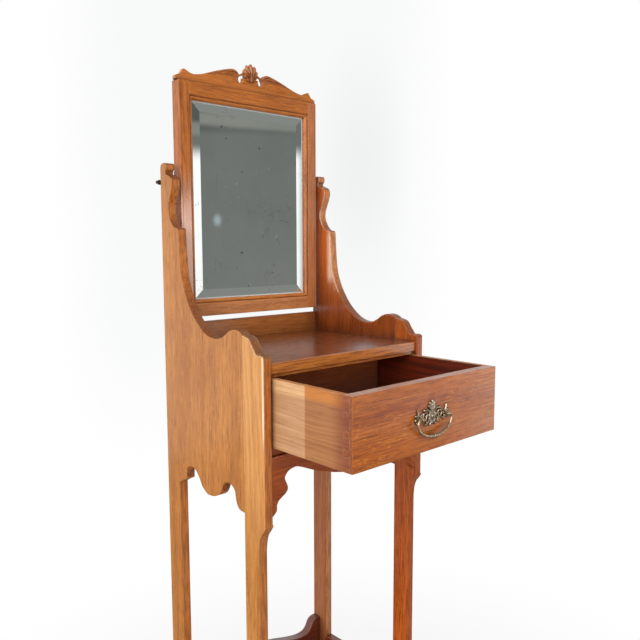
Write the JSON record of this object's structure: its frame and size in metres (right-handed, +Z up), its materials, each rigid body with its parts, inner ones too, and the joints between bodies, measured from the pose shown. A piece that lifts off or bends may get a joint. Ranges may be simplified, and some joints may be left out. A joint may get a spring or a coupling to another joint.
{
  "type": "shaving stand",
  "caption": "Tall free-standing oak shaving stand: swinging bevelled mirror between scrolled side boards, a shelf over a drawer with a brass bail handle, and a low tray.",
  "frame": {"origin": "on the floor, under the middle of the object's width and depth, with the drawer standing open", "axes": "+X to the right seen from the front, +Y from the front to the back, +Z up"},
  "size_m": [0.4296, 0.5362, 1.5035],
  "materials": {
    "oak_case": "quarter-sawn oak under a satin golden-brown varnish",
    "oak_mirror": "oak under a satin orange-brown varnish, darker in its grooves",
    "oak_drawer": "figured oak under a satin orange-brown varnish",
    "drawer_lining": "paler hardwood, thinly varnished",
    "dark_oak": "dark red-brown stained oak with a satin varnish",
    "plain_wood": "unfinished softwood",
    "silvered_glass": "bevelled silvered glass with slight foxing",
    "dark_steel": "browned steel",
    "antique_brass": "cast brass with a dark patina and rubbed high points"
  },
  "bodies": {
    "carcass": {"left_side_board": "oak_case", "right_side_board": "oak_case", "left_front_leg": "oak_case", "right_front_leg": "oak_case", "shelf": "oak_case", "back_board": "oak_case", "front_apron": "oak_case", "drawer_rail": "dark_oak", "kicker_rail": "dark_oak", "rear_rail": "dark_oak", "left_runner": "plain_wood", "right_runner": "plain_wood", "left_kicker": "plain_wood", "right_kicker": "plain_wood", "drawer_stops": "plain_wood", "glue_blocks": "plain_wood", "back_screws": "dark_steel", "tray_board": "dark_oak", "tray_back_rail": "dark_oak", "tray_left_rail": "dark_oak", "tray_right_rail": "dark_oak", "tray_blocks": "plain_wood", "left_pivot_plate": "dark_steel", "right_pivot_plate": "dark_steel", "pivot_plate_screws": "dark_steel"},
    "mirror_frame": {"left_stile": "oak_mirror", "right_stile": "oak_mirror", "top_rail": "oak_mirror", "bottom_rail": "oak_mirror", "mirror_moulding": "oak_mirror", "mirror_crest": "oak_mirror", "crest_shell": "oak_mirror", "mirror_glass": "silvered_glass", "mirror_backing": "plain_wood", "backing_beads": "plain_wood", "left_frame_plate": "dark_steel", "right_frame_plate": "dark_steel", "frame_plate_screws": "dark_steel", "left_pivot_bolt": "dark_steel", "right_pivot_bolt": "dark_steel"},
    "drawer": {"drawer_front": "oak_drawer", "drawer_left_side": "drawer_lining", "drawer_right_side": "drawer_lining", "drawer_back": "drawer_lining", "drawer_bottom": "drawer_lining", "handle_plate": "antique_brass", "handle_posts": "antique_brass", "handle_nuts": "antique_brass"},
    "left_nut": {"left_thumb_nut": "dark_steel"},
    "right_nut": {"right_thumb_nut": "dark_steel"},
    "bail": {"handle_bail": "antique_brass"}
  },
  "joints": [
    {"name": "drawer_slide", "type": "slide", "parent": "carcass", "child": "drawer", "axis": [0, -1, 0], "range_m": [-0.1945, 0.06]},
    {"name": "mirror_tilt", "type": "hinge", "parent": "carcass", "child": "mirror_frame", "pos_m": [0, 0.2621, 1.248], "axis": [1, 0, 0], "range_deg": [-25, 35]},
    {"name": "bail_swing", "type": "hinge", "parent": "drawer", "child": "bail", "pos_m": [0, -0.2639, 0.837], "axis": [-1, 0, 0], "range_deg": [-4, 120]},
    {"name": "left_nut_turn", "type": "hinge", "parent": "mirror_frame", "child": "left_nut", "pos_m": [-0.2035, 0.2621, 1.248], "axis": [-1, 0, 0], "range_deg": [0, 360]},
    {"name": "right_nut_turn", "type": "hinge", "parent": "mirror_frame", "child": "right_nut", "pos_m": [0.2035, 0.2621, 1.248], "axis": [1, 0, 0], "range_deg": [0, 360]}
  ]
}
